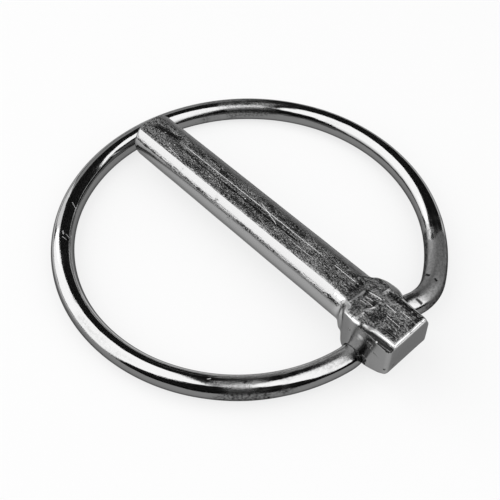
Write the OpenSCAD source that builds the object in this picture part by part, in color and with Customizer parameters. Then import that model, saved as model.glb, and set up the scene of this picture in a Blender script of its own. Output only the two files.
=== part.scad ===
// Lock pin with a sprung wire ring: a forged pin whose squared head carries
// the two ends of one round wire. The shank's axis is +X, and the origin is
// where the neck ends and the straight shank begins. The ring lies in a plane
// below the axis.

/* [Shank] */
// Diameter of the round shank
shank_d = 10; // [8:0.1:12]
// Length of the straight shank, from the neck to the tip
shank_len = 59.6; // [52:0.2:60]
// Height of the flat along the shank's top, above its axis
flat_top = 4; // [3.8:0.05:4.6]
// Rounding of the tip's edge
tip_round = 1; // [0.4:0.1:2]
// Hollow radius where the shank flares into the head, and the neck's length
neck_r = 1.9; // [1.5:0.1:2.4]
// How far round the hollow runs before a straight flare takes over
neck_turn = 62; // [50:1:70]

/* [Head] */
// Length of the head, from shoulder to end face
head_len = 12.5; // [11.5:0.1:15]
// Height of the flat top above the shank's axis
head_top = 5.4; // [5.2:0.1:6]
// Depth of the underside below the shank's axis
head_depth = 8.6; // [8.4:0.1:10]
// Half width on the +Y side
side_w = 6.7; // [6.5:0.1:7.5]
// Half width on the -Y side, at the shoulder
back_w = 7.2; // [6.8:0.1:7.8]
// Narrowing of the -Y side towards the end
back_taper = 1.6; // [0:0.1:1.8]
// Cut of the corners beside the shoulder
shoulder_cut = 1.7; // [0.5:0.1:1.8]
// Bevel of the long -Y edge at the top, across the width
back_bevel = 3.9; // [2:0.1:4.2]
// Bevel of the long edges at the bottom
heel_bevel = 2.4; // [1:0.1:2.6]
// Widest reach of the hump on the upper -Y side, square to its slope
hump_w = 6.65; // [6.4:0.05:7]
// Reach of the same side behind the hump
waist_w = 5.4; // [5.2:0.05:6]
// Reach of the lower +Y side, square to its slope
keel_w = 8.25; // [8:0.05:8.6]
// Height of the end face below the axis, before the underside rises
end_depth = 2.6; // [1:0.1:4]
// Length of the sloping underside, from the end face
heel_len = 4.9; // [3:0.1:5.5]
// Widest part of the tapered bevel on the +Y edge of the top
wedge_w = 1.1; // [0.4:0.1:1.5]
// Distance from the shoulder to where that bevel starts
wedge_start = 3.8; // [2:0.1:6]

/* [Ring] */
// Diameter of the wire
wire_d = 4.7; // [4:0.1:4.8]
// Distance from the shoulder back to the ring's hinge axis
hinge_back = 4.65; // [4.4:0.05:5]
// Distance of the ring's plane below the shank's axis
ring_drop = 5; // [4.5:0.1:5.2]
// Distance from the hinge axis to the wire's centre at the far side
ring_reach = 71.65; // [71:0.05:74]
// Sideways place of the far side of the ring
crown_y = 2; // [1.5:0.1:2.4]
// Radius of the +Y half of the ring, at the wire's centre
near_arc_r = 36.05; // [35.8:0.05:36.2]
// Radius of the -Y half of the ring, at the wire's centre
back_arc_r = 38.2; // [38:0.05:38.4]
// Bend that turns the +Y end into the head
near_elbow_r = 6; // [4:0.5:6]
// Angle before the hinge where the -Y end starts its tighter bend
back_turn = 30; // [29:0.5:31]
// Radius of that tighter bend
back_turn_r = 9; // [8:0.5:9]
// Bend that turns the -Y end into the head
back_elbow_r = 4; // [3:0.5:4]

/* [Fit] */
// Radial clearance of the wire's ends in the head
run_clear = 0.07; // [0.02:0.01:0.1]
// Distance between the two ends of the wire inside the head
end_gap = 2.4; // [1:0.1:4]

/* [Hidden] */
$fn = 96;

shank_r = shank_d / 2;
wire_r = wire_d / 2;
steel = [0.62, 0.62, 0.64];
dark_steel = [0.5, 0.5, 0.52];
// Overlap of pieces that are joined, and room past a cut
lap = 1;
// The wire swells by this much at every second bend, whose ends take in
// a short length of the wire on either side
swell = 0.01;
wire_lap = 0.2;

// Head's shoulder, and the flare of the neck that meets it
shoulder_x = -neck_r;
root = neck_r + lap;
hollow_end = neck_r * sin(neck_turn);
hollow_end_r = shank_r + neck_r * (1 - cos(neck_turn));
// The flare is a little slacker than the hollow's end, and crosses it there
flare_slack = 8;
flare_turn = neck_turn - flare_slack;
flare_r = hollow_end_r + (neck_r - hollow_end) * tan(flare_turn);
inside = neck_r * sin(flare_slack);

// Hinge axis, along Y
hinge_x = shoulder_x - hinge_back;
hinge_z = -ring_drop;
crown_x = hinge_x + ring_reach;

// Head outlines
top_edge = 0.5;
near_corner = 0.5;
back_corner = 1.5;
toe_rise = 1.4;
toe_back = 1.5;
heel_front = 2.2;
front_rise = 1.7;
side_rise = 2.8;

// Ramp from the shank's flat to the head's top, from the shoulder
ramp_start = 0.9;
ramp_end = 3.1;

// Upper -Y and lower +Y sides: their slope, and where the forging turns
slope = 27.6;
neck_notch = 5.6;
hump_x = 2.9;
waist_x = 6.7;
keel_x = 1.5;
keel_end = 7.4;

// +Y end of the ring: the arc stops where an elbow can bring it onto the hinge
near_arc_x = crown_x - near_arc_r;
near_gap = near_arc_r - near_elbow_r;
near_stop = acos((near_arc_x - near_elbow_r - hinge_x) / near_gap);
near_elbow_x = near_arc_x - near_gap * cos(near_stop);
near_elbow_y = crown_y + near_gap * sin(near_stop);

// -Y end of the ring: a tighter bend, then an elbow the other way
back_arc_x = crown_x - back_arc_r;
back_gap = back_arc_r - back_turn_r;
back_bend_x = back_arc_x - back_gap * cos(back_turn);
back_bend_y = crown_y - back_gap * sin(back_turn);
back_sum = back_turn_r + back_elbow_r;
back_stop = acos((back_bend_x + back_elbow_r - hinge_x) / back_sum);
back_elbow_x = back_bend_x - back_sum * cos(back_stop);
back_elbow_y = back_bend_y + back_sum * sin(back_stop);

// A length of bent wire in the XY plane: centre, bend radius, first angle, turn
module bend(x, y, bend_r, from, turn, r) {
    translate([x, y, 0])
        rotate([0, 0, from])
            rotate_extrude(angle = turn)
                translate([bend_r, 0])
                    circle(r = r);
}

// The same, reaching a little into its neighbours
module inner_bend(x, y, bend_r, from, turn) {
    more = wire_lap / bend_r * 180 / PI;
    bend(x, y, bend_r, from - more, turn + 2 * more, wire_r);
}

// The same, thick enough to take its neighbours in
module outer_bend(x, y, bend_r, from, turn) {
    bend(x, y, bend_r, from, turn, wire_r + swell);
}

// A straight length of wire along Y, on the hinge axis
module straight_wire(y_low, y_high) {
    translate([hinge_x, y_low, 0])
        rotate([-90, 0, 0])
            cylinder(r = wire_r, h = y_high - y_low);
}

// Half section of the shank and its neck, along Y from the shoulder to the tip
module shank_section() {
    difference() {
        union() {
            translate([0, -root])
                square([shank_r, shank_len + root - tip_round]);
            translate([0, -root])
                square([shank_r - tip_round, shank_len + root]);
            translate([shank_r - tip_round, shank_len - tip_round])
                circle(r = tip_round);
            polygon([
                [0, 0],
                [shank_r, 0],
                [hollow_end_r - inside * sin(flare_turn), inside * cos(flare_turn) - hollow_end],
                [flare_r, -neck_r],
                [shank_r, -root],
                [0, -root]
            ]);
        }
        translate([shank_r + neck_r, 0])
            circle(r = neck_r);
    }
}

module shank() {
    rotate([0, 90, 0])
        rotate_extrude()
            shank_section();
}

// Outline of the head from above, from its shoulder
module head_plan() {
    polygon([
        [0, side_w - shoulder_cut],
        [-shoulder_cut, side_w],
        [near_corner - head_len, side_w],
        [-head_len, side_w - near_corner],
        [-head_len, back_taper + back_corner - back_w],
        [back_corner - head_len, back_taper - back_w],
        [-shoulder_cut, -back_w],
        [0, shoulder_cut / 2 - back_w]
    ]);
}

// Outline of the head and neck from the side, X along and Y up
module head_side() {
    polygon([
        [root, flat_top],
        [ramp_start, flat_top],
        [-ramp_end, head_top],
        [top_edge - head_len, head_top],
        [-head_len, head_top - top_edge],
        [-head_len, -end_depth],
        [toe_back - head_len, -end_depth - toe_rise],
        [heel_len - head_len, -head_depth],
        [-heel_front, -head_depth],
        [0, front_rise - head_depth],
        [root, front_rise - head_depth]
    ]);
}

// Outline of the head from its end, X across and Y up
module head_end() {
    polygon([
        [side_w, head_top],
        [back_bevel - back_w, head_top],
        [back_bevel / 2 - back_w, head_top - back_bevel / 2],
        [-back_w, head_top - 1.2 * back_bevel],
        [-back_w, side_rise - head_depth],
        [heel_bevel - back_w, -head_depth],
        [side_w - heel_bevel, -head_depth],
        [side_w, side_rise - head_depth]
    ]);
}

// Outline of the head down its slanted sides, X along and the -Y side upwards
module head_slope() {
    polygon([
        [-shoulder_x, hump_w + lap],
        [0, neck_notch],
        [-1, hump_w - 0.35],
        [-hump_x, hump_w],
        [-hump_x - 1.6, hump_w - 0.4],
        [-waist_x, waist_w],
        [0.4 - head_len, waist_w - 0.25],
        [-head_len, waist_w - 0.6],
        [-head_len - lap, waist_w - 0.6],
        [-head_len - lap, 1.2 - keel_w],
        [-head_len, 1.2 - keel_w],
        [1.9 - head_len, 0.6 - keel_w],
        [-keel_end, -keel_w],
        [-keel_x, -keel_w],
        [0, 1.6 - keel_w],
        [-shoulder_x, -keel_w]
    ]);
}

// The tapered bevel that is cut from the +Y edge of the top
module wedge_cut() {
    run = head_len - wedge_start;
    skew = atan(wedge_w / run);
    translate([shoulder_x - wedge_start, side_w, head_top])
        rotate([0, 0, skew])
            rotate([-45, 0, 0])
                translate([-2 * run, -lap, 0])
                    cube([2 * run, 4 * wedge_w + lap, 4 * wedge_w]);
}

// The head's outlines from the side and the end, and free room round the shank
module outlines() {
    intersection() {
        rotate([90, 0, 0])
            linear_extrude(2 * (back_w + lap), center = true)
                head_side();
        translate([-head_len - lap, 0, 0])
            rotate([90, 0, 90])
                linear_extrude(head_len + root + 2 * lap)
                    head_end();
        rotate([-slope, 0, 0])
            rotate([180, 0, 0])
                linear_extrude(6 * shank_d, center = true)
                    head_slope();
    }
    translate([neck_r, -shank_d, -shank_d])
        cube([shank_len + lap, 2 * shank_d, shank_d + flat_top]);
}

module blank() {
    intersection() {
        union() {
            translate([shoulder_x, 0, -head_depth - lap])
                linear_extrude(head_depth + head_top + 2 * lap)
                    head_plan();
            shank();
        }
        translate([shoulder_x, 0, 0])
            outlines();
    }
}

module pin() {
    color(steel)
        difference() {
            blank();
            wedge_cut();
            translate([hinge_x, 0, hinge_z])
                rotate([90, 0, 0])
                    cylinder(r = wire_r + run_clear, h = 2 * (back_w + lap), center = true);
        }
}

module ring() {
    color(dark_steel)
        translate([0, 0, hinge_z]) {
            straight_wire(end_gap / 2, near_elbow_y + wire_lap);
            outer_bend(near_elbow_x, near_elbow_y, near_elbow_r, 180 - near_stop, near_stop);
            inner_bend(near_arc_x, crown_y, near_arc_r, 0, 180 - near_stop);
            outer_bend(back_arc_x, crown_y, back_arc_r, 180 + back_turn, 180 - back_turn);
            inner_bend(back_bend_x, back_bend_y, back_turn_r, 180 - back_stop, back_turn + back_stop);
            outer_bend(back_elbow_x, back_elbow_y, back_elbow_r, -back_stop, back_stop);
            straight_wire(back_elbow_y - wire_lap, -end_gap / 2);
        }
}

pin();
ring();
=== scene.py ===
from functools import partial
from math import acos, atan2, cos, exp, hypot, pi, radians, sin

import bmesh
import bpy
from mathutils import Matrix, Vector, noise


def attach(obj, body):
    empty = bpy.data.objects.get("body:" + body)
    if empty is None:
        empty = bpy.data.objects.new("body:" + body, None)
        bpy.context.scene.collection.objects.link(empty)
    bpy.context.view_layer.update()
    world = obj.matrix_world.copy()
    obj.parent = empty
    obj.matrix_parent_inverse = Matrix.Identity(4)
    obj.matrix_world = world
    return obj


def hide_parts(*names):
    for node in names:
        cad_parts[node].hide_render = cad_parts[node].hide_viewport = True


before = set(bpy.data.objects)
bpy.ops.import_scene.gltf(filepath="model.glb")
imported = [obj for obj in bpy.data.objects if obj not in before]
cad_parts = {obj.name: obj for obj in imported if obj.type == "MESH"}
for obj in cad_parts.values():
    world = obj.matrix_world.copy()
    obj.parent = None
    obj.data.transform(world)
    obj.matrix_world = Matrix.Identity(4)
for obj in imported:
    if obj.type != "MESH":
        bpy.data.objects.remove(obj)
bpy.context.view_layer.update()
mm = 0.001  # the scene is in metres, the numbers below in millimetres


# small helpers for meshes

def newPiece(name, bm):
    mesh = bpy.data.meshes.new(name)
    bm.to_mesh(mesh)
    bm.free()
    for face in mesh.polygons:
        face.use_smooth = True
    piece = bpy.data.objects.new(name, mesh)
    bpy.context.scene.collection.objects.link(piece)
    return piece


def rise(low, high, value):
    t = min(1, max(0, (value - low) / (high - low)))
    return t * t * (3 - 2 * t)


def storeNumbers(piece, name, numbers):
    layer = piece.data.attributes.new(name, "FLOAT", "POINT")
    layer.data.foreach_set("value", numbers)


def soften(bm, verts, times):
    for _ in range(times):
        bmesh.ops.smooth_vert(bm, verts=verts, factor=0.5, use_axis_x=True, use_axis_y=True, use_axis_z=True)


def facing(azimuth, elevation):
    a, e = radians(azimuth), radians(elevation)
    return Vector((cos(a) * cos(e), sin(a) * cos(e), sin(e)))


# small helpers for materials

def mathNode(nodes, links, operation, first, second=0.0, third=0.0):
    node = nodes.new("ShaderNodeMath")
    node.operation = operation
    for place, value in enumerate((first, second, third)):
        if isinstance(value, (int, float)):
            node.inputs[place].default_value = value
        else:
            links.new(value, node.inputs[place])
    return node.outputs[0]


def rampNode(nodes, links, value, low, high, outLow=0.0, outHigh=1.0):
    node = nodes.new("ShaderNodeMapRange")
    node.interpolation_type = "SMOOTHSTEP"
    links.new(value, node.inputs["Value"])
    for name, number in (("From Min", low), ("From Max", high), ("To Min", outLow), ("To Max", outHigh)):
        node.inputs[name].default_value = number
    return node.outputs[0]


def noiseNode(nodes, links, place, scale, detail):
    node = nodes.new("ShaderNodeTexNoise")
    links.new(place, node.inputs["Vector"])
    for name, number in (("Scale", scale), ("Detail", detail), ("Roughness", 0.6)):
        node.inputs[name].default_value = number
    return node.outputs["Fac"]


def stretched(nodes, links, place, scale, offset=(0, 0, 0), turn=(0, 0, 0)):
    node = nodes.new("ShaderNodeMapping")
    links.new(place, node.inputs["Vector"])
    node.inputs["Scale"].default_value = scale
    node.inputs["Location"].default_value = offset
    node.inputs["Rotation"].default_value = turn
    return node.outputs[0]


def storedNode(nodes, name):
    node = nodes.new("ShaderNodeAttribute")
    node.attribute_name = name
    return node.outputs


def bumpNode(nodes, links, height, distance, before=None):
    node = nodes.new("ShaderNodeBump")
    node.inputs["Distance"].default_value = distance
    links.new(height, node.inputs["Height"])
    if before is not None:
        links.new(before, node.inputs["Normal"])
    return node.outputs["Normal"]


def greyNode(nodes, links, value):
    node = nodes.new("ShaderNodeCombineColor")
    for channel in ("Red", "Green", "Blue"):
        links.new(value, node.inputs[channel])
    return node.outputs[0]


# camera

cameraSetup = {
    "target": (21.25, 6.31, 0),  # mm, a point beside the shank
    "distance": 166.96,  # mm
    "azimuth": 137.72,  # degrees from +X towards +Y
    "elevation": 52.13,
    "roll": 0.84,
    "lens": 61.87,
    "nearest": 0.005,  # m, where the view starts
}


def makeCamera(setup):
    data = bpy.data.cameras.new("studioCamera")
    data.lens = setup["lens"]
    data.clip_start = setup["nearest"]
    camera = bpy.data.objects.new("studioCamera", data)
    bpy.context.scene.collection.objects.link(camera)
    back = facing(setup["azimuth"], setup["elevation"])
    roll = Matrix.Rotation(-radians(setup["roll"]), 4, "Z")
    turn = back.to_track_quat("Z", "Y").to_matrix().to_4x4() @ roll
    place = Vector(setup["target"]) + back * setup["distance"]
    camera.matrix_world = Matrix.Translation(place * mm) @ turn
    bpy.context.scene.camera = camera
    bpy.context.scene.view_settings.view_transform = "Standard"


makeCamera(cameraSetup)
print("camera ready")


# floor, dark tent, softboxes and a grey card

studio = {
    "floorDrop": 8.6,  # mm below the shank's axis, at the head
    "floorTilt": 1.04,  # degrees, so that head and ring both lie on it
    "floorPivotX": -6,  # mm, where the tilt turns it
    "floorRadius": 3,  # m
    "floorColour": 0.8,
    "floorWhite": 0.75,  # share of plain white that camera and reflections see
    "tentRadius": 1.2,  # m
    "tentCut": -0.03,  # m, the height at which it ends under the floor
    "tentColour": 0.03,
    "fill": 0.25,  # soft light from all round
    "softboxDistance": 0.6,  # m
    "softboxes": {  # degrees and m; the dark gap between left and right runs over the top
        "softboxRight": {"azimuth": 43, "elevation": 42, "wide": 0.8, "high": 0.96, "radiance": 1.75},
        "softboxLeft": {"azimuth": -156, "elevation": 52, "wide": 0.62, "high": 0.84, "radiance": 1.75},
        "softboxLow": {"azimuth": 2, "elevation": 22, "wide": 0.16, "high": 0.36, "radiance": 1.1},
        "cardLow": {"azimuth": -24, "elevation": 20, "wide": 0.36, "high": 0.3, "radiance": 0.35},
    },
}


def plainMaterial(name, colour):
    material = bpy.data.materials.new(name)
    material.use_nodes = True
    shader = material.node_tree.nodes["Principled BSDF"]
    shader.inputs["Base Color"].default_value = (colour, colour, colour, 1)
    shader.inputs["Roughness"].default_value = 1
    shader.inputs["Specular IOR Level"].default_value = 0
    return material


def seenRays(nodes, links):
    path = nodes.new("ShaderNodeLightPath")
    seen = mathNode(nodes, links, "MAXIMUM", path.outputs["Is Camera Ray"], path.outputs["Is Glossy Ray"])
    return mathNode(nodes, links, "MAXIMUM", seen, path.outputs["Is Transmission Ray"])


def mixShaders(nodes, links, mask, plain, seen, target):
    mix = nodes.new("ShaderNodeMixShader")
    links.new(mask, mix.inputs[0])
    links.new(plain, mix.inputs[1])
    links.new(seen, mix.inputs[2])
    links.new(mix.outputs[0], target)


def makeWorld(setup):
    world = bpy.data.worlds.new("studioWorld")
    bpy.context.scene.world = world
    world.use_nodes = True
    nodes, links = world.node_tree.nodes, world.node_tree.links
    nodes["Background"].inputs["Color"].default_value = (setup["fill"], setup["fill"], setup["fill"], 1)
    white = nodes.new("ShaderNodeBackground")
    white.inputs["Color"].default_value = (1, 1, 1, 1)
    mixShaders(nodes, links, seenRays(nodes, links), nodes["Background"].outputs[0], white.outputs[0],
               nodes["World Output"].inputs["Surface"])


def makeFloor(setup):
    bm = bmesh.new()
    bmesh.ops.create_circle(bm, cap_ends=True, segments=96, radius=setup["floorRadius"])
    tilt = Matrix.Rotation(-radians(setup["floorTilt"]), 4, "Y")
    place = Matrix.Translation((setup["floorPivotX"] * mm, 0, -setup["floorDrop"] * mm))
    bmesh.ops.transform(bm, verts=bm.verts, matrix=place @ tilt)
    floor = newPiece("floor", bm)
    material = plainMaterial("whiteFloor", setup["floorColour"])
    nodes, links = material.node_tree.nodes, material.node_tree.links
    white = nodes.new("ShaderNodeEmission")
    share = mathNode(nodes, links, "MULTIPLY", seenRays(nodes, links), setup["floorWhite"])
    mixShaders(nodes, links, share, nodes["Principled BSDF"].outputs[0], white.outputs[0],
               nodes["Material Output"].inputs["Surface"])
    floor.data.materials.append(material)


def makeTent(setup):
    bm = bmesh.new()
    bmesh.ops.create_uvsphere(bm, u_segments=48, v_segments=24, radius=setup["tentRadius"])
    bmesh.ops.bisect_plane(bm, geom=bm.verts[:] + bm.edges[:] + bm.faces[:], clear_outer=True,
                           plane_co=(0, 0, setup["tentCut"]), plane_no=(0, 0, -1))
    tent = newPiece("tent", bm)
    tent.data.materials.append(plainMaterial("darkCloth", setup["tentColour"]))
    tent.visible_camera = tent.visible_diffuse = tent.visible_shadow = False


def makeSoftbox(name, box, middle, distance):
    data = bpy.data.lights.new(name, "AREA")
    data.shape = "RECTANGLE"
    data.size, data.size_y = box["wide"], box["high"]
    data.energy = box["radiance"] * pi * box["wide"] * box["high"]
    lamp = bpy.data.objects.new(name, data)
    bpy.context.scene.collection.objects.link(lamp)
    towards = facing(box["azimuth"], box["elevation"])
    turn = towards.to_track_quat("Z", "Y").to_matrix().to_4x4()
    lamp.matrix_world = Matrix.Translation(middle + towards * distance) @ turn


makeWorld(studio)
makeFloor(studio)
makeTent(studio)
for boxName, box in studio["softboxes"].items():
    makeSoftbox(boxName, box, Vector(cameraSetup["target"]) * mm, studio["softboxDistance"])
print("stage ready")


# steel finish, shared by both pieces

def groupSocket(group, name, kind, way, value=None):
    socket = group.interface.new_socket(name=name, in_out=way, socket_type=kind)
    if value is not None:
        socket.default_value = value


def makeSteelSkin():
    # grain, drawing lines and bright specks, on a place in mm whose X runs along the steel
    group = bpy.data.node_groups.new("steelSkin", "ShaderNodeTree")
    groupSocket(group, "Place", "NodeSocketVector", "INPUT")
    groupSocket(group, "Grain Size", "NodeSocketFloat", "INPUT", 2.5)
    groupSocket(group, "Line Size", "NodeSocketFloat", "INPUT", 3.0)
    for name in ("Grain", "Lines", "Specks"):
        groupSocket(group, name, "NodeSocketFloat", "OUTPUT")
    nodes, links = group.nodes, group.links
    inside, outside = nodes.new("NodeGroupInput"), nodes.new("NodeGroupOutput")
    place = inside.outputs["Place"]
    grain = nodes.new("ShaderNodeTexNoise")
    links.new(stretched(nodes, links, place, (0.85, 1, 1)), grain.inputs["Vector"])
    links.new(inside.outputs["Grain Size"], grain.inputs["Scale"])
    grain.inputs["Detail"].default_value = 4
    grain.inputs["Roughness"].default_value = 0.62
    lines = nodes.new("ShaderNodeTexNoise")
    drawn = stretched(nodes, links, place, (0.05, 1, 1), (7, 3, 1), (0, 0, radians(0.6)))
    links.new(drawn, lines.inputs["Vector"])
    links.new(inside.outputs["Line Size"], lines.inputs["Scale"])
    lines.inputs["Detail"].default_value = 2
    specks = nodes.new("ShaderNodeTexVoronoi")
    links.new(place, specks.inputs["Vector"])
    specks.inputs["Scale"].default_value = 0.95
    links.new(grain.outputs["Fac"], outside.inputs["Grain"])
    links.new(lines.outputs["Fac"], outside.inputs["Lines"])
    links.new(rampNode(nodes, links, specks.outputs["Distance"], 0.1, 0.24, 1, 0), outside.inputs["Specks"])
    return group


def makeScratchLine():
    # one straight scratch through the middle of its own place, 1 on the line
    group = bpy.data.node_groups.new("scratchLine", "ShaderNodeTree")
    groupSocket(group, "Place", "NodeSocketVector", "INPUT")
    groupSocket(group, "Half Length", "NodeSocketFloat", "INPUT", 5)
    groupSocket(group, "Half Width", "NodeSocketFloat", "INPUT", 0.1)
    groupSocket(group, "Line", "NodeSocketFloat", "OUTPUT")
    nodes, links = group.nodes, group.links
    calc, ramp = partial(mathNode, nodes, links), partial(rampNode, nodes, links)
    inside, outside = nodes.new("NodeGroupInput"), nodes.new("NodeGroupOutput")
    parts = nodes.new("ShaderNodeSeparateXYZ")
    links.new(inside.outputs["Place"], parts.inputs[0])
    along = calc("DIVIDE", calc("ABSOLUTE", parts.outputs["X"]), inside.outputs["Half Length"])
    across = calc("DIVIDE", calc("ABSOLUTE", parts.outputs["Y"]), inside.outputs["Half Width"])
    line = calc("MULTIPLY", ramp(along, 0.85, 1, 1, 0), ramp(across, 0.3, 1, 1, 0))
    links.new(line, outside.inputs["Line"])
    return group


steelSkin = makeSteelSkin()
scratchLine = makeScratchLine()


def addGroup(nodes, links, group, place, **values):
    node = nodes.new("ShaderNodeGroup")
    node.node_tree = group
    links.new(place, node.inputs["Place"])
    for name, number in values.items():
        node.inputs[name].default_value = number
    return node.outputs


def scratchMask(nodes, links, place, scratches):
    mask = 0.0
    for x, y, turn, halfLength, halfWidth in scratches:
        lineUp = nodes.new("ShaderNodeMapping")
        lineUp.vector_type = "TEXTURE"
        lineUp.inputs["Location"].default_value = (x, y, 0)
        lineUp.inputs["Rotation"].default_value = (0, 0, radians(turn))
        links.new(place, lineUp.inputs["Vector"])
        sizes = {"Half Length": halfLength, "Half Width": halfWidth}
        line = addGroup(nodes, links, scratchLine, lineUp.outputs[0], **sizes)["Line"]
        mask = mathNode(nodes, links, "MAXIMUM", mask, line)
    return mask


def steelShader(name, tint):
    material = bpy.data.materials.new(name)
    material.use_nodes = True
    nodes, links = material.node_tree.nodes, material.node_tree.links
    shader = nodes["Principled BSDF"]
    shader.inputs["Metallic"].default_value = 1
    shader.inputs["Specular Tint"].default_value = (tint, tint, tint, 1)
    return material, nodes, links, shader


# ring: one wire swept through its bends

ringSetup = {  # mm and degrees
    "wireDiameter": 4.7,
    "hingeX": -6.55,
    "hingeZ": -5,
    "crownX": 65.1,
    "crownY": 2,
    "nearRadius": 36.05,
    "backRadius": 38.2,
    "nearElbow": 6,
    "backTurn": 30,
    "backBend": 9,
    "backElbow": 4,
    "endGap": 2.4,
    "boreHalf": 8,  # the ends stay true to size inside the head
    "around": 64,  # points round the wire
    "step": 0.45,  # between two loops of them
    "waviness": 0.03,
    "scuffs": [  # along the wire, from, to, how far the plating is dulled
        (201, 222, 1.0),
        (136, 149, 0.72),
        (20, 31, 0.75),
        (2, 12, 0.5),
    ],
    "scuffStray": 7,  # how far a scuff's border strays
    "nicks": [  # along the wire, round it from its outer side over the top, size, depth
        (214.3, 125, 0.5, 0.12),
        (215.2, 80, 0.45, 0.12),
        (221.4, 60, 0.6, 0.12),
        (178.3, 85, 0.5, -0.06),
        (90.6, 125, 0.5, 0.05),
        (81.9, 135, 0.5, -0.07),
        (81.2, 120, 0.35, 0.06),
        (140.5, 60, 0.4, 0.05),
        (33.0, 95, 0.4, 0.05),
        (62.0, 75, 0.35, 0.05),
    ],
    "scratches": [  # along the wire, across its top from the middle outwards, turn, half length, half width
        (90.3, -1.2, 40, 0.9, 0.15),
        (81.9, -1.3, 35, 0.6, 0.14),
        (81.2, -0.7, 48, 0.6, 0.14),
        (82.6, -0.4, 15, 0.5, 0.2),
        (33.0, -0.2, 20, 0.4, 0.14),
    ],
    "dirtAndShade": [  # dark nicks, as the scratches above; in the dents their dark is painted shade
        (214.3, -1.35, 60, 0.55, 0.4),
        (215.2, 0.4, 60, 0.4, 0.35),
        (221.0, 1.0, 112, 0.75, 0.4),
        (26.5, 0.2, 30, 0.35, 0.25),
        (178.3, 0.1, 0, 0.3, 0.3),
    ],
    "colour": 0.52,
    "paintedFlankShade": 0.2,  # painted shade: the wire's colour is darker low on its flanks
    "paintedShadeTop": (1.2, 1.72),  # heights above the wire's middle, where the painted shade of the flanks ends
    "edgeTint": 0.28,
    "dull": 0.3,  # roughness of scuffed patches
    "bright": 0.07,  # roughness of clean plating
}


def sweepRing(setup):
    around, step = setup["around"], setup["step"]
    hingeX, hingeZ, crownY = setup["hingeX"], setup["hingeZ"], setup["crownY"]
    bm = bmesh.new()
    start = Matrix.Translation((hingeX, setup["endGap"] / 2, hingeZ)) @ Matrix.Rotation(-pi / 2, 4, "X")
    bmesh.ops.create_circle(bm, segments=around, radius=setup["wireDiameter"] / 2, matrix=start)
    along = [0.0]
    edges = bm.edges[:]

    def straight(edges, fromY, toY):
        count = max(1, round(abs(toY - fromY) / step))
        for _ in range(count):
            made = bmesh.ops.extrude_edge_only(bm, edges=edges)["geom"]
            verts = {item for item in made if isinstance(item, bmesh.types.BMVert)}
            bmesh.ops.translate(bm, verts=list(verts), vec=(0, (toY - fromY) / count, 0))
            edges = [item for item in made
                     if isinstance(item, bmesh.types.BMEdge) and verts.issuperset(item.verts)]
            along.append(along[-1] + abs(toY - fromY) / count)
        return edges

    def arc(edges, x, y, radius, angle):
        count = max(2, round(abs(angle) * radius / step))
        made = bmesh.ops.spin(bm, geom=edges, cent=(x, y, hingeZ), axis=(0, 0, 1), angle=angle, steps=count,
                              use_duplicate=False, use_merge=False, use_normal_flip=False)
        before = along[-1]
        along.extend(before + abs(angle) * radius * (i + 1) / count for i in range(count))
        return [item for item in made["geom_last"] if isinstance(item, bmesh.types.BMEdge)]

    nearX = setup["crownX"] - setup["nearRadius"]
    gap = setup["nearRadius"] - setup["nearElbow"]
    nearStop = acos((nearX - setup["nearElbow"] - hingeX) / gap)
    elbowX, elbowY = nearX - gap * cos(nearStop), crownY + gap * sin(nearStop)
    backX = setup["crownX"] - setup["backRadius"]
    turn = radians(setup["backTurn"])
    gap = setup["backRadius"] - setup["backBend"]
    bendX, bendY = backX - gap * cos(turn), crownY - gap * sin(turn)
    reach = setup["backBend"] + setup["backElbow"]
    backStop = acos((bendX + setup["backElbow"] - hingeX) / reach)
    lastX, lastY = bendX - reach * cos(backStop), bendY + reach * sin(backStop)

    edges = straight(edges, setup["endGap"] / 2, elbowY)
    edges = arc(edges, elbowX, elbowY, setup["nearElbow"], -nearStop)
    edges = arc(edges, nearX, crownY, setup["nearRadius"], nearStop - pi)
    edges = arc(edges, backX, crownY, setup["backRadius"], turn - pi)
    edges = arc(edges, bendX, bendY, setup["backBend"], -turn - backStop)
    edges = arc(edges, lastX, lastY, setup["backElbow"], backStop)
    straight(edges, lastY, -setup["endGap"] / 2)
    return bm, along


def dulledAt(setup, place):
    # 1 in a scuff, with a ragged border where it starts
    stray = setup["scuffStray"] * noise.noise(place * 0.45)
    return max(depth * rise(-6, 6, place.x - low + stray) * rise(-4, 4, high - place.x)
               for low, high, depth in setup["scuffs"])


def nickDepth(setup, place, angle, radius):
    depth = 0
    for nickAlong, nickAngle, size, deep in setup["nicks"]:
        if abs(place.x - nickAlong) < 3 * size:
            across = radius * abs((angle - radians(nickAngle) + pi) % (2 * pi) - pi)
            depth += deep * exp(-((place.x - nickAlong) ** 2 + across ** 2) / size ** 2 * 2)
    return depth


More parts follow.
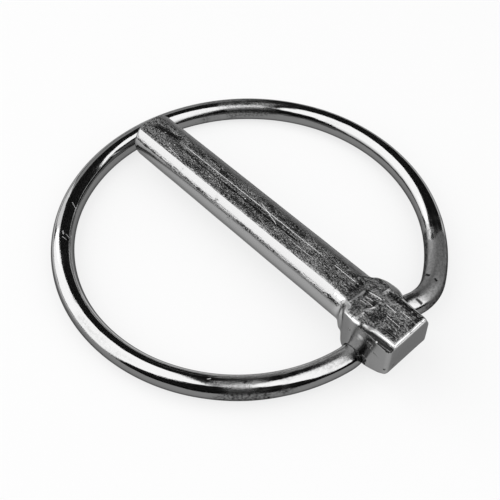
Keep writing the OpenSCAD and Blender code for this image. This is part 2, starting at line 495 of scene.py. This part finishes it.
def makeRing(setup):
    bm, along = sweepRing(setup)
    around, radius = setup["around"], setup["wireDiameter"] / 2
    bm.verts.ensure_lookup_table()
    points = [v.co.copy() for v in bm.verts]
    middles = [sum(points[i:i + around], Vector()) / around for i in range(0, len(points), around)]
    wirePlace, dulled = [], []
    for index, loopMiddle in enumerate(middles):
        travel = (middles[min(index + 1, len(middles) - 1)] - middles[max(index - 1, 0)]).normalized()
        outward = Vector((-travel.y, travel.x, 0))
        fade = rise(setup["boreHalf"], setup["boreHalf"] + 6, min(along[index], along[-1] - along[index]))
        for vert in bm.verts[index * around:(index + 1) * around]:
            spoke = vert.co - loopMiddle
            angle = atan2(spoke.z, spoke.dot(outward))
            place = Vector((along[index], cos(angle) * radius, sin(angle) * radius))
            wirePlace.append(place)
            dulled.append(dulledAt(setup, place))
            waves = noise.noise(Vector((place.x / 9, place.y / 4, place.z / 4 + 5)))
            lift = waves * setup["waviness"] * fade - nickDepth(setup, place, angle, radius)
            vert.co += spoke.normalized() * lift
    rims = [e for e in bm.edges if e.is_boundary]
    bmesh.ops.holes_fill(bm, edges=rims, sides=around)
    bmesh.ops.scale(bm, vec=(mm, mm, mm), verts=bm.verts)
    bmesh.ops.recalc_face_normals(bm, faces=bm.faces)
    ring = newPiece("springRing", bm)
    layer = ring.data.attributes.new("wirePlace", "FLOAT_VECTOR", "POINT")
    layer.data.foreach_set("vector", [number for place in wirePlace for number in place])
    storeNumbers(ring, "dulled", dulled)
    print("ring", len(along), "loops,", len(ring.data.polygons), "faces")
    return ring


def wireMaterial(setup):
    material, nodes, links, shader = steelShader("platedWire", setup["edgeTint"])
    calc, ramp = partial(mathNode, nodes, links), partial(rampNode, nodes, links)
    place = storedNode(nodes, "wirePlace")["Vector"]
    dulled = storedNode(nodes, "dulled")["Fac"]
    skin = addGroup(nodes, links, steelSkin, place, **{"Grain Size": 2.2, "Line Size": 2.4})
    grain = ramp(skin["Grain"], 0.35, 0.7)
    lines = ramp(skin["Lines"], 0.4, 0.75)
    patches = noiseNode(nodes, links, stretched(nodes, links, place, (0.06, 0.35, 0.35), (3, 1, 9)), 1, 3)
    scuffed = ramp(calc("MULTIPLY_ADD", dulled, 0.3, patches), 0.52, 0.8)
    heavy = ramp(dulled, 0.78, 1)
    height = nodes.new("ShaderNodeSeparateXYZ")
    links.new(place, height.inputs[0])
    onTop = ramp(height.outputs["Z"], 0, 0.5)
    bright = calc("MULTIPLY", scratchMask(nodes, links, place, setup["scratches"]), onTop)
    # dark nicks; in the dents their dark is painted shade
    dark = calc("MULTIPLY", scratchMask(nodes, links, place, setup["dirtAndShade"]), onTop)

    # painted shade: darker colour from the wire's top down over its flanks
    tone = ramp(height.outputs["Z"], *setup["paintedShadeTop"], setup["paintedFlankShade"], setup["colour"])
    tone = calc("SUBTRACT", tone, calc("MULTIPLY", calc("MULTIPLY", grain, scuffed), 0.18))
    tone = calc("MULTIPLY", tone, calc("MULTIPLY_ADD", heavy, -0.35, 1.0))
    tone = calc("MULTIPLY", tone, calc("MULTIPLY_ADD", dark, -0.93, 1.0))
    tone = calc("MAXIMUM", tone, calc("MULTIPLY", bright, 0.9))
    links.new(greyNode(nodes, links, tone), shader.inputs["Base Color"])
    rough = calc("MULTIPLY_ADD", scuffed, setup["dull"] - setup["bright"], setup["bright"])
    rough = calc("MULTIPLY_ADD", bright, 0.4, rough)
    rough = calc("MULTIPLY_ADD", heavy, 0.22, rough)
    links.new(rough, shader.inputs["Roughness"])
    relief = calc("MULTIPLY", skin["Grain"], calc("ADD", scuffed, 0.12))
    normal = bumpNode(nodes, links, relief, 0.00003)
    normal = bumpNode(nodes, links, lines, 0.000006, normal)
    links.new(normal, shader.inputs["Normal"])
    return material


ring = makeRing(ringSetup)
ring.data.materials.append(wireMaterial(ringSetup))
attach(ring, "ring_body")
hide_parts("ring")
print("ring ready")


# pin: forged blank with its skin, dents and scratches

pinSetup = {  # mm
    "skin": 0.195,  # size of the skin's mesh
    "softening": 2,  # rounds of smoothing all over, then on the neck, the far edges and the tip
    "neckSoftening": 14,
    "neckX": (-5.4, 0.6),
    "farSoftening": 8,
    "farEdge": {"lowest": 2.9, "onShank": -1.9, "onHead": -3.6},  # height, and how far out it starts
    "tipSoftening": 16,
    "tipX": 58.4,
    "boreX": -6.55,
    "boreZ": -5,
    "boreRadius": 2.42,
    "topZ": 5.4,
    "sideY": 6.7,
    "flatZ": 4,
    "neckEnd": -5.2,  # where the head's shoulder stands
    "bevel": {"start": 5.05, "taper": 1.3, "taperX": (-9.8, -6.4), "drop": 0.23, "slope": 0.45},  # +Y edge
    "chamfer": {"start": -13.9, "slope": 0.7},  # at the end face
    "farSlope": {"start": -2.75, "slope": 0.62, "fadeX": (-7.4, -8.4)},  # far edge of the head
    "cheekSlope": 0.28,  # hollow beside the shoulder
    "fall": {"start": -2.1, "slope": 0.32, "curve": 0.12},  # the flat's far side
    "lump": 0.06,  # height of the broad lumps, and of the fine pitting
    "pitting": 0.02,
    "wedgeSkin": 1.9,  # over 1 the skin is dirty
    "borderTurn": 1.08,  # radians from the top, the ragged border under the bright side
    "borderWidth": 0.075,
    "farBandY": (-1.6, -2.5),  # smooth band along the shank's far side
    "strokes": [  # from, to, half width, height on the top of head and neck
        ((-2.23, 3.4), (-2.42, 0.1), 0.32, 0.2),
        ((-5.52, 3.74), (-6.43, 1.94), 0.28, 0.2),
        ((-6.43, 1.94), (-6.42, 0.28), 0.28, 0.2),
        ((-5.9, 4.16), (-5.77, 5.4), 0.25, 0.2),
        ((-5.44, -1.8), (-5.56, -3.3), 0.25, 0.18),
        ((-3.3, -0.23), (-6.15, -0.27), 0.14, 0.1),
        ((-7.57, 3.2), (-8.5, 2.7), 0.9, -0.16),
        ((-6.4, -2.4), (-7.2, -2.5), 0.6, -0.16),
        ((-3.2, 1), (-5.4, 1.4), 1.2, -0.16),
        ((-0.4, -1.4), (-0.4, 2), 0.9, -0.16),
    ],
    "wornEdges": [  # from, to, half width, strength of bright wear, seen from above
        ((-7.6, 5.95), (-9.5, 5.42), 0.2, 0.9),
        ((-9.5, 5.36), (-14.1, 5.28), 0.18, 1),
        ((-14.16, 5.2), (-14.16, -2.6), 0.24, 1),
        ((1.4, 3.7), (-0.7, 3.7), 0.2, 1),
        ((-0.7, 3.7), (-2.6, 4.4), 0.34, 1),
        ((-2.6, 4.4), (-3.65, 6.1), 0.4, 1),
        ((-3.65, 6.2), (-6.6, 6.3), 0.3, 1),
        ((-2.23, 3.4), (-2.42, 0.1), 0.24, 0.5),
        ((-5.52, 3.74), (-6.43, 1.94), 0.14, 0.8),
        ((-6.43, 1.94), (-6.42, 0.28), 0.2, 0.5),
        ((-5.9, 4.16), (-5.77, 5.4), 0.13, 0.8),
        ((-5.44, -1.78), (-5.56, -3.3), 0.14, 0.7),
        ((-5.17, 4.4), (-5.17, 4.0), 0.12, 0.4),
    ],
    "darkPatches": [  # from, to, half width, strength of the dark patches on the top, and at the neck a painted shadow
        ((-7.3, 3.3), (-8.2, 2.9), 0.8, 0.5),
        ((-6.3, -2.4), (-7.6, -2.6), 0.45, 0.6),
        ((-11.4, 4.1), (-12.8, 3.6), 0.7, 0.45),
        ((-13.5, 0.6), (-13.4, -1.6), 0.5, 0.5),
        ((-8.6, -2.3), (-13.6, -2.1), 0.3, 0.6),
        # painted shadow at the neck
        ((-0.5, -1.0), (-0.4, 0.8), 0.8, 0.5),
        ((-2.9, 0.4), (-3.1, -1.6), 0.4, 0.5),
        ((-5.6, 0.9), (-5.7, 1.6), 0.35, 0.6),
        ((56.6, 0.1), (50.6, -0.9), 0.55, 0.7),
        ((47.5, -1.2), (43.5, -1.25), 0.4, 0.5),
        ((50.0, 0.3), (44, 0.5), 0.3, 0.4),
        ((38.0, -1.3), (34.5, -1.3), 0.4, 0.5),
        ((26.0, 0.6), (19.0, 0.5), 0.5, 0.5),
        ((24.5, -1.3), (14.0, -1.2), 0.4, 0.35),
    ],
    "sideHighlightsAndShade": [  # x, z, size, shade on the +Y side of the head; above 0 a painted highlight, below 0 a painted shadow
        (-7.8, 2.4, 0.8, 0.95),
        (-7.4, 1.4, 0.55, 0.6),
        (-9.8, 2.6, 0.55, -0.9),
        (-10.0, 1.6, 0.35, -0.5),
        (-9.3, -3.0, 0.6, -1.2),
        (-9.2, -4.4, 0.5, -1.0),
        (-5.15, 1.9, 0.3, -0.7),
        (-6.0, 0.9, 0.3, -0.5),
        (-13.9, -1.2, 0.25, -0.4),
    ],
    "scratches": [  # middle x, middle y, turn in degrees, half length, half width
        (28.2, -0.57, 0.2, 21.5, 0.11),
        (22.9, -0.41, -16.2, 3.1, 0.1),
        (48, 2.4, -7, 2.6, 0.08),
        (12, 1.2, 1, 3, 0.07),
        (3, -0.63, 0, 2.9, 0.12),
        (-8.6, -0.1, -1.3, 1.3, 0.12),
        (-4.75, -0.25, 0.8, 1.5, 0.13),
        (-4.0, 2.17, -6, 0.9, 0.1),
        (-4.65, 1.73, -6.7, 1.4, 0.09),
        (-4.3, 0.9, -4, 1.0, 0.08),
        (-10.6, 1.7, -2, 1.7, 0.08),
        (-11.3, -0.9, 1, 1.4, 0.08),
    ],
    "grooves": [(29, 0.45, 0.4, 15, 0.3)],  # dark lines, as the scratches
    "colour": 0.5,
    "edgeTint": 0.36,
    # painted shade: colour of the head's sides and the shank's flanks
    "sideShadeColour": 0.31,
    # colour of wear, and of the painted highlights on the head's +Y side
    "wearAndHighlightColour": 0.95,
    "pits": 0.025,  # colour of the pits in the forged skin
    "skinRough": 0.34,
    "sideRough": 0.16,
}


def strokeGap(x, y, start, end):
    (ax, ay), (bx, by) = start, end
    run = (bx - ax) ** 2 + (by - ay) ** 2
    t = min(1, max(0, ((x - ax) * (bx - ax) + (y - ay) * (by - ay)) / run))
    return hypot(x - ax - t * (bx - ax), y - ay - t * (by - ay))


def strokeHeight(x, y, strokes):
    height = 0
    for start, end, width, lift in strokes:
        gap = strokeGap(x, y, start, end) / width
        if gap < 2.5:
            height += lift * exp(-gap * gap)
    return height


def edgeWear(x, y, edges):
    return max(strength * rise(1.5, 0.7, strokeGap(x, y, start, end) / width)
               for start, end, width, strength in edges)


def dirtAndShadeAt(x, y, patches):
    return max(strokeHeight(x, y, [patch]) for patch in patches)


def hammered(setup, co):
    # flattens the drawn section's edges as the setup says, none of them near the bore
    x, y, z = co
    top, neckEnd = setup["topZ"], setup["neckEnd"]
    bevel, chamfer, far, fall = setup["bevel"], setup["chamfer"], setup["farSlope"], setup["fall"]
    if x < neckEnd and y > 3 and z > 3:
        out = y - bevel["start"] - bevel["taper"] * rise(*bevel["taperX"], x)
        co.z = z = min(z, max(top - out, top - bevel["drop"] - bevel["slope"] * out))
    if x < -13.5 and z > 4:
        co.z = z = min(z, top - chamfer["slope"] * (chamfer["start"] - x))
    if x < far["fadeX"][0] and y < 0 and z > 3.5:
        co.z = min(z, top - far["slope"] * (far["start"] - y) * rise(*far["fadeX"], x))
    if neckEnd < x < 1 and y > 4:
        co.y = min(y, setup["sideY"] - setup["cheekSlope"] * (x - neckEnd))
    if x > 0 and y < fall["start"]:
        drop = fall["start"] - y
        co.z = min(co.z, setup["flatZ"] - fall["slope"] * drop - fall["curve"] * drop * drop)
    return co


def boreGap(setup, co):
    return hypot(co.x - setup["boreX"], co.z - setup["boreZ"]) - setup["boreRadius"]


def forgedBlank(setup):
    bm = bmesh.new()
    bm.from_mesh(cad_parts["pin"].data)
    bmesh.ops.remove_doubles(bm, verts=bm.verts, dist=0.5e-6)
    blank = newPiece("pinBlank", bm)
    remesh = blank.modifiers.new("skin", "REMESH")
    remesh.mode = "VOXEL"
    remesh.voxel_size = setup["skin"] * mm
    bm = bmesh.new()
    bm.from_object(blank, bpy.context.evaluated_depsgraph_get())
    bpy.data.objects.remove(blank)
    soften(bm, bm.verts, setup["softening"])
    for vert in bm.verts:
        vert.co = hammered(setup, vert.co / mm) * mm
    low, high = setup["neckX"]
    neck = [v for v in bm.verts if low * mm < v.co.x < high * mm and boreGap(setup, v.co / mm) > 0.3]
    soften(bm, neck, setup["neckSoftening"])
    far = setup["farEdge"]
    farVerts = [v for v in bm.verts if v.co.z > far["lowest"] * mm
                and v.co.y < (far["onShank"] if v.co.x > 0 else far["onHead"]) * mm]
    soften(bm, farVerts, setup["farSoftening"])
    soften(bm, [v for v in bm.verts if v.co.x > setup["tipX"] * mm], setup["tipSoftening"])
    bm.normal_update()
    return bm


def skinAt(setup, co, up):
    # the finish's masks at one point of the blank, painted highlights and painted shade among them, and how
    # far its skin stands out there
    free = rise(0.15, 0.8, boreGap(setup, co))  # the bore stays true to size
    onTop = rise(0.84, 0.93, up.z)  # where the surface faces up
    onHead = rise(0.5, -3, co.x)
    onShank = rise(-1, 1, co.x)
    onWedge = rise(0.25, 0.35, up.y) * rise(0.25, 0.4, up.z) * rise(-6.2, -7, co.x)  # the +Y bevel
    skin = max(onTop, setup["wedgeSkin"] * onWedge) * rise(-1, 1, co.z)
    turn = atan2(co.y, co.z)  # round the shank, from its top towards +Y
    border = exp(-((turn - setup["borderTurn"]) / setup["borderWidth"]) ** 2) * onShank
    farBand = rise(*setup["farBandY"], co.y) * onShank * rise(1, 2, co.z)
    wearWithHighlight = 0
    if co.x < 1.6 and co.z > 2:
        wearWithHighlight = edgeWear(co.x, co.y, setup["wornEdges"])
        wearWithHighlight *= rise(0.2, 0.4, up.z) * rise(-0.6, -0.35, noise.noise(co * 1.6))
    # dark patches on the top, the neck's painted shadow among them
    if onTop > 0:
        skin += dirtAndShadeAt(co.x, co.y, setup["darkPatches"]) * onTop * (1 - wearWithHighlight)
    # painted highlights (above 0, into the wear mask) and painted shadows (below 0, into the skin mask) on
    # the head's +Y side
    if up.y > 0.8 and co.x < -3 and co.y > 5:
        for x, z, size, shade in setup["sideHighlightsAndShade"]:
            spot = shade * exp(-((co.x - x) ** 2 + (co.z - z) ** 2) / size ** 2)
            wearWithHighlight = max(wearWithHighlight, spot)
            skin = max(skin, -spot)
    lift = noise.noise(co / 5) * setup["lump"] * (0.35 + 0.65 * onHead) * free
    lift += noise.fractal(co * 1.1, 1, 2, 3) * setup["pitting"] * (skin + 0.06) * free
    if onTop > 0:
        lift += strokeHeight(co.x, co.y, setup["strokes"]) * onTop
    # painted shade: the head's sides and undersides and the shank's flanks, marked for a darker colour
    headSide = onHead * (1 - skin) * rise(0.45, 0.1, up.z)
    shankSide = 0.8 * onShank * rise(1.05, 1.15, abs(turn))
    masks = {
        "forgedSkinAndShade": max(skin * (1 - 0.86 * farBand), 0.36 * border) * (1 - wearWithHighlight),
        "shadedSide": max(headSide, shankSide),
        "wearAndHighlight": wearWithHighlight,
        "satin": farBand,
    }
    return masks, lift


def makePin(setup):
    bm = forgedBlank(setup)
    points = []
    for vert in bm.verts:
        masks, lift = skinAt(setup, vert.co / mm, vert.normal)
        vert.co += vert.normal * lift * mm
        points.append(masks)
    pin = newPiece("forgedPin", bm)
    for name in points[0]:
        storeNumbers(pin, name, [masks[name] for masks in points])
    print("pin", len(points), "vertices")
    return pin


def pinMaterial(setup):
    material, nodes, links, shader = steelShader("forgedSteel", setup["edgeTint"])
    calc, ramp = partial(mathNode, nodes, links), partial(rampNode, nodes, links)
    coords = nodes.new("ShaderNodeTexCoord")
    place = stretched(nodes, links, coords.outputs["Object"], (1000, 1000, 1000))
    skinAndShade, side, wearAndHighlight, satin = [storedNode(nodes, name)["Fac"]
                                 for name in ("forgedSkinAndShade", "shadedSide", "wearAndHighlight", "satin")]
    skin = addGroup(nodes, links, steelSkin, place, **{"Grain Size": 3.2, "Line Size": 5})
    onForged = ramp(skinAndShade, 0.3, 0.7)
    bright = calc("MULTIPLY", scratchMask(nodes, links, place, setup["scratches"]), onForged)
    dark = calc("MULTIPLY", scratchMask(nodes, links, place, setup["grooves"]), onForged)

    # speckle of the forged skin, heavier where it is stained or dirty and where painted shade darkens the
    # head's side and neck
    patches = noiseNode(nodes, links, place, 0.35, 3)
    skinAndShadeArea = ramp(calc("ADD", patches, skinAndShade), 0.64, 0.82)
    stainsAndShade = noiseNode(nodes, links, stretched(nodes, links, place, (0.2, 0.7, 0.7), (5, 2, 8)), 1, 2)
    stainsAndShade = calc("MULTIPLY_ADD", dark, 0.16, stainsAndShade)
    # over 1: dark patches, the dirty bevel, and painted shadows on the head's side and at the neck
    dirtAndShade = calc("MAXIMUM", calc("SUBTRACT", skinAndShade, 1.0), 0.0)
    stainsAndShade = calc("MULTIPLY_ADD", dirtAndShade, 0.6, stainsAndShade)
    speckle = calc("MULTIPLY_ADD", stainsAndShade, -0.65, calc("MULTIPLY", skin["Grain"], 1.3))
    lines = calc("MULTIPLY", ramp(skin["Lines"], 0.52, 0.72), 0.45)
    light = calc("MAXIMUM", ramp(speckle, 0.13, 0.55), lines)
    depth = calc("MULTIPLY", calc("SUBTRACT", 1.0, light), skinAndShadeArea)

    # bright metal in scratches, specks and worn edges, and painted highlights on the head's +Y side
    specks = calc("MULTIPLY", skin["Specks"], ramp(skin["Lines"], 0.35, 0.6))
    specks = calc("MULTIPLY", calc("MULTIPLY", specks, onForged), 0.8)
    shiny = calc("MAXIMUM", calc("MAXIMUM", bright, specks), wearAndHighlight)

    # painted shade: darker colour on the sides
    clean = calc("MULTIPLY_ADD", side, setup["sideShadeColour"] - setup["colour"], setup["colour"])
    tone = calc("MULTIPLY_ADD", depth, setup["pits"] - setup["colour"], clean)
    tone = calc("MAXIMUM", tone, setup["pits"])
    tone = calc("MAXIMUM", tone, calc("MULTIPLY", shiny, setup["wearAndHighlightColour"]))
    links.new(greyNode(nodes, links, tone), shader.inputs["Base Color"])
    rough = calc("MULTIPLY_ADD", skinAndShadeArea, setup["skinRough"] - setup["sideRough"], setup["sideRough"])
    rough = calc("MULTIPLY_ADD", shiny, 0.2, rough)
    rough = calc("MULTIPLY_ADD", satin, 0.24, rough)
    links.new(rough, shader.inputs["Roughness"])
    relief = calc("MULTIPLY", skin["Grain"], calc("ADD", skinAndShadeArea, 0.04))
    relief = calc("MULTIPLY", relief, calc("MULTIPLY_ADD", wearAndHighlight, -0.7, 1.0))
    normal = bumpNode(nodes, links, relief, 0.00013)
    normal = bumpNode(nodes, links, calc("SUBTRACT", bright, dark), 0.00004, normal)
    lineRelief = calc("MULTIPLY", skin["Lines"], calc("ADD", skinAndShadeArea, 0.1))
    normal = bumpNode(nodes, links, lineRelief, 0.00004, normal)
    links.new(normal, shader.inputs["Normal"])
    return material


pin = makePin(pinSetup)
pin.data.materials.append(pinMaterial(pinSetup))
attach(pin, "pin_body")
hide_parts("pin")
print("pin ready")
